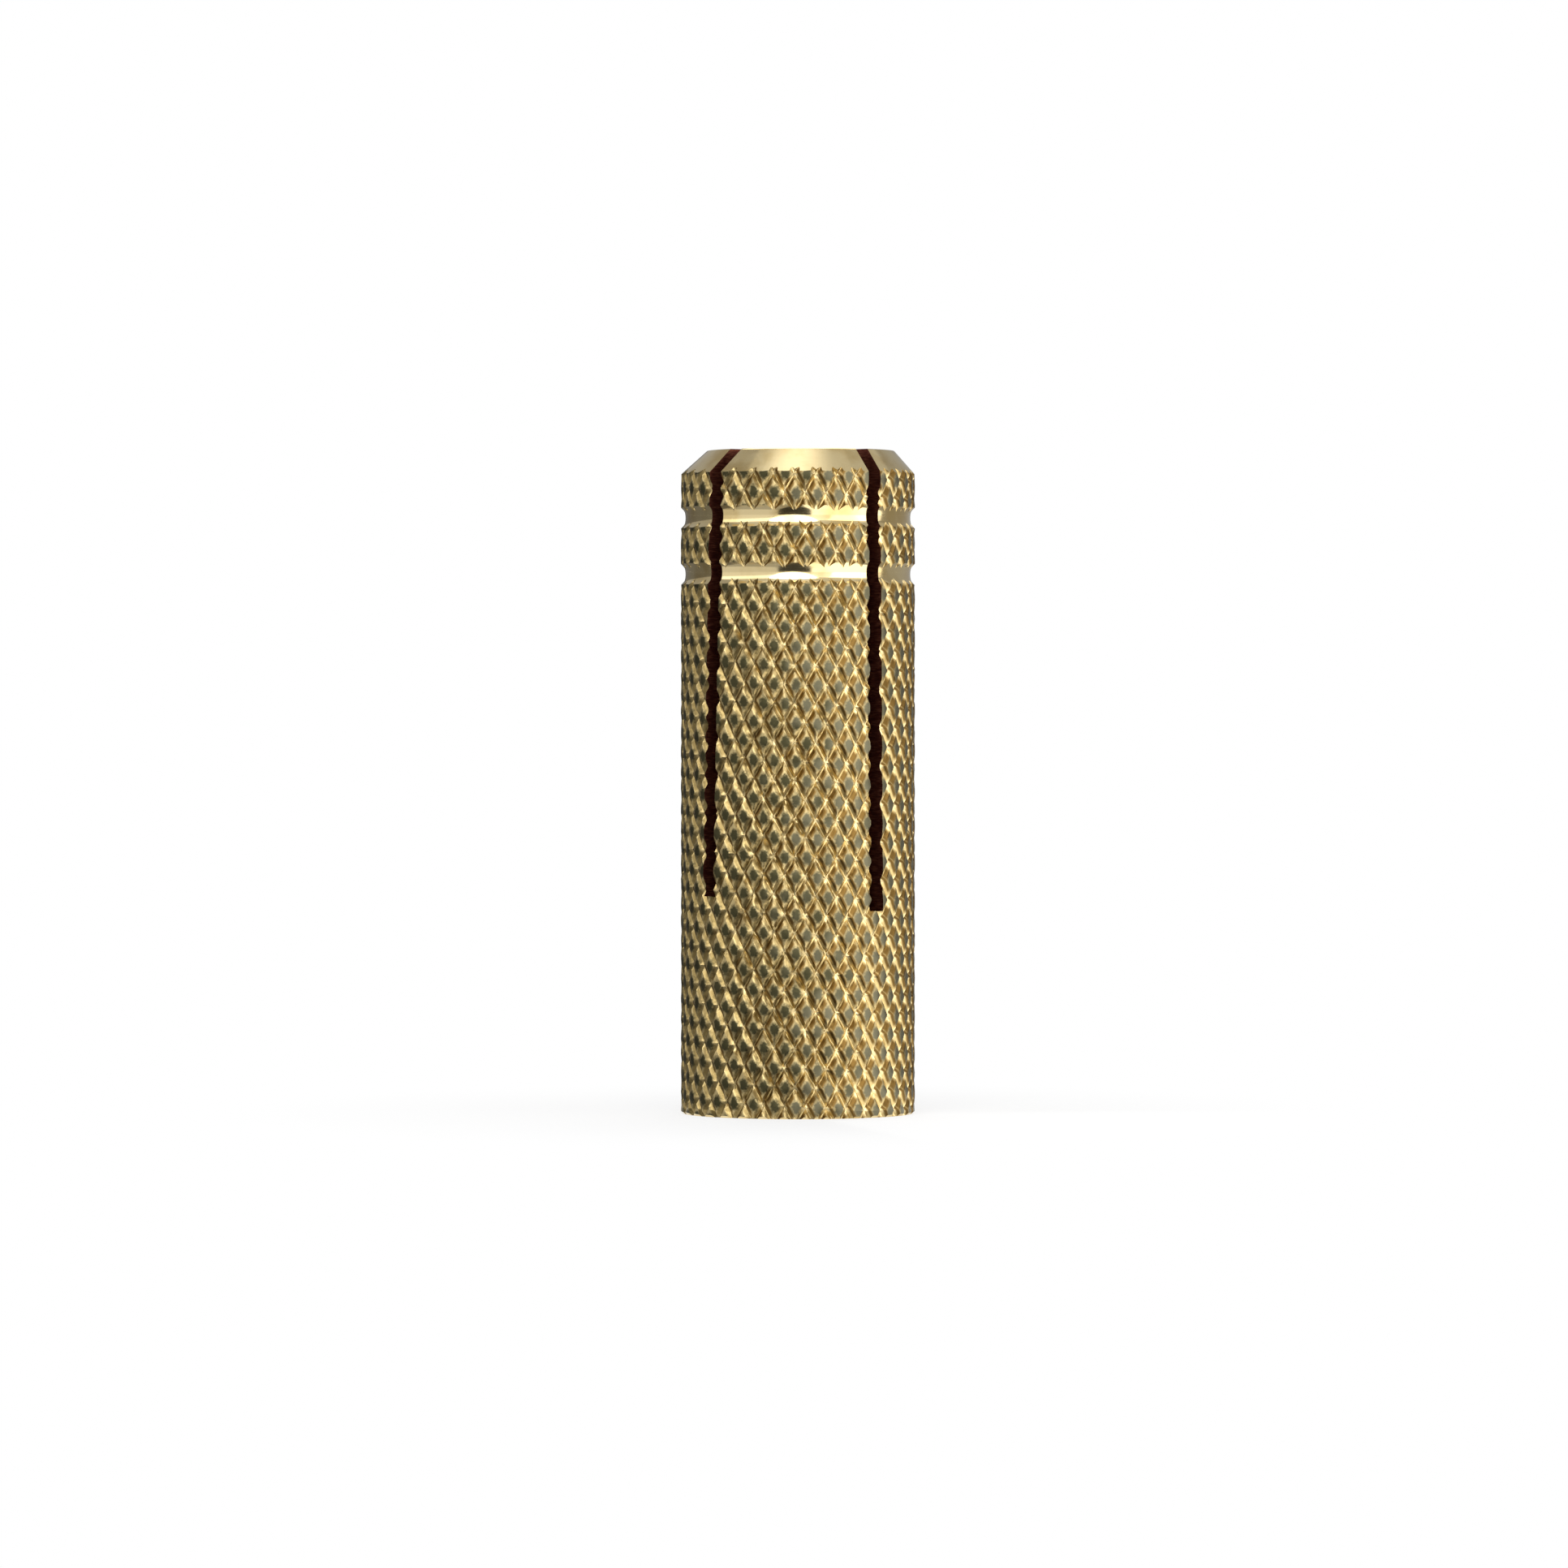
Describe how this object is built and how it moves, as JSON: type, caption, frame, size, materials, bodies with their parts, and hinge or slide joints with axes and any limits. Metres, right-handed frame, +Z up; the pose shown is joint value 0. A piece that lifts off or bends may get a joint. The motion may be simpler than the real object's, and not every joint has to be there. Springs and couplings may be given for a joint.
{
  "type": "threaded insert",
  "caption": "Knurled brass sleeve with an internal thread, a chamfered nose, ring grooves and long saw slots; a screw driven in spreads the slit end to grip a drilled hole.",
  "frame": {"origin": "centre of the plain end, on the surface it stands on", "axes": "+Z runs up the sleeve from the plain end to the slit nose; -Y is the front, midway between two saw slots; +X is to the right"},
  "size_m": [0.0098, 0.0098, 0.028],
  "materials": {
    "brass": "drawn bar with a rolled diamond knurl, turned nose and grooves, sawn slots"
  },
  "bodies": {
    "root": {"sleeve": "brass"}
  },
  "joints": []
}
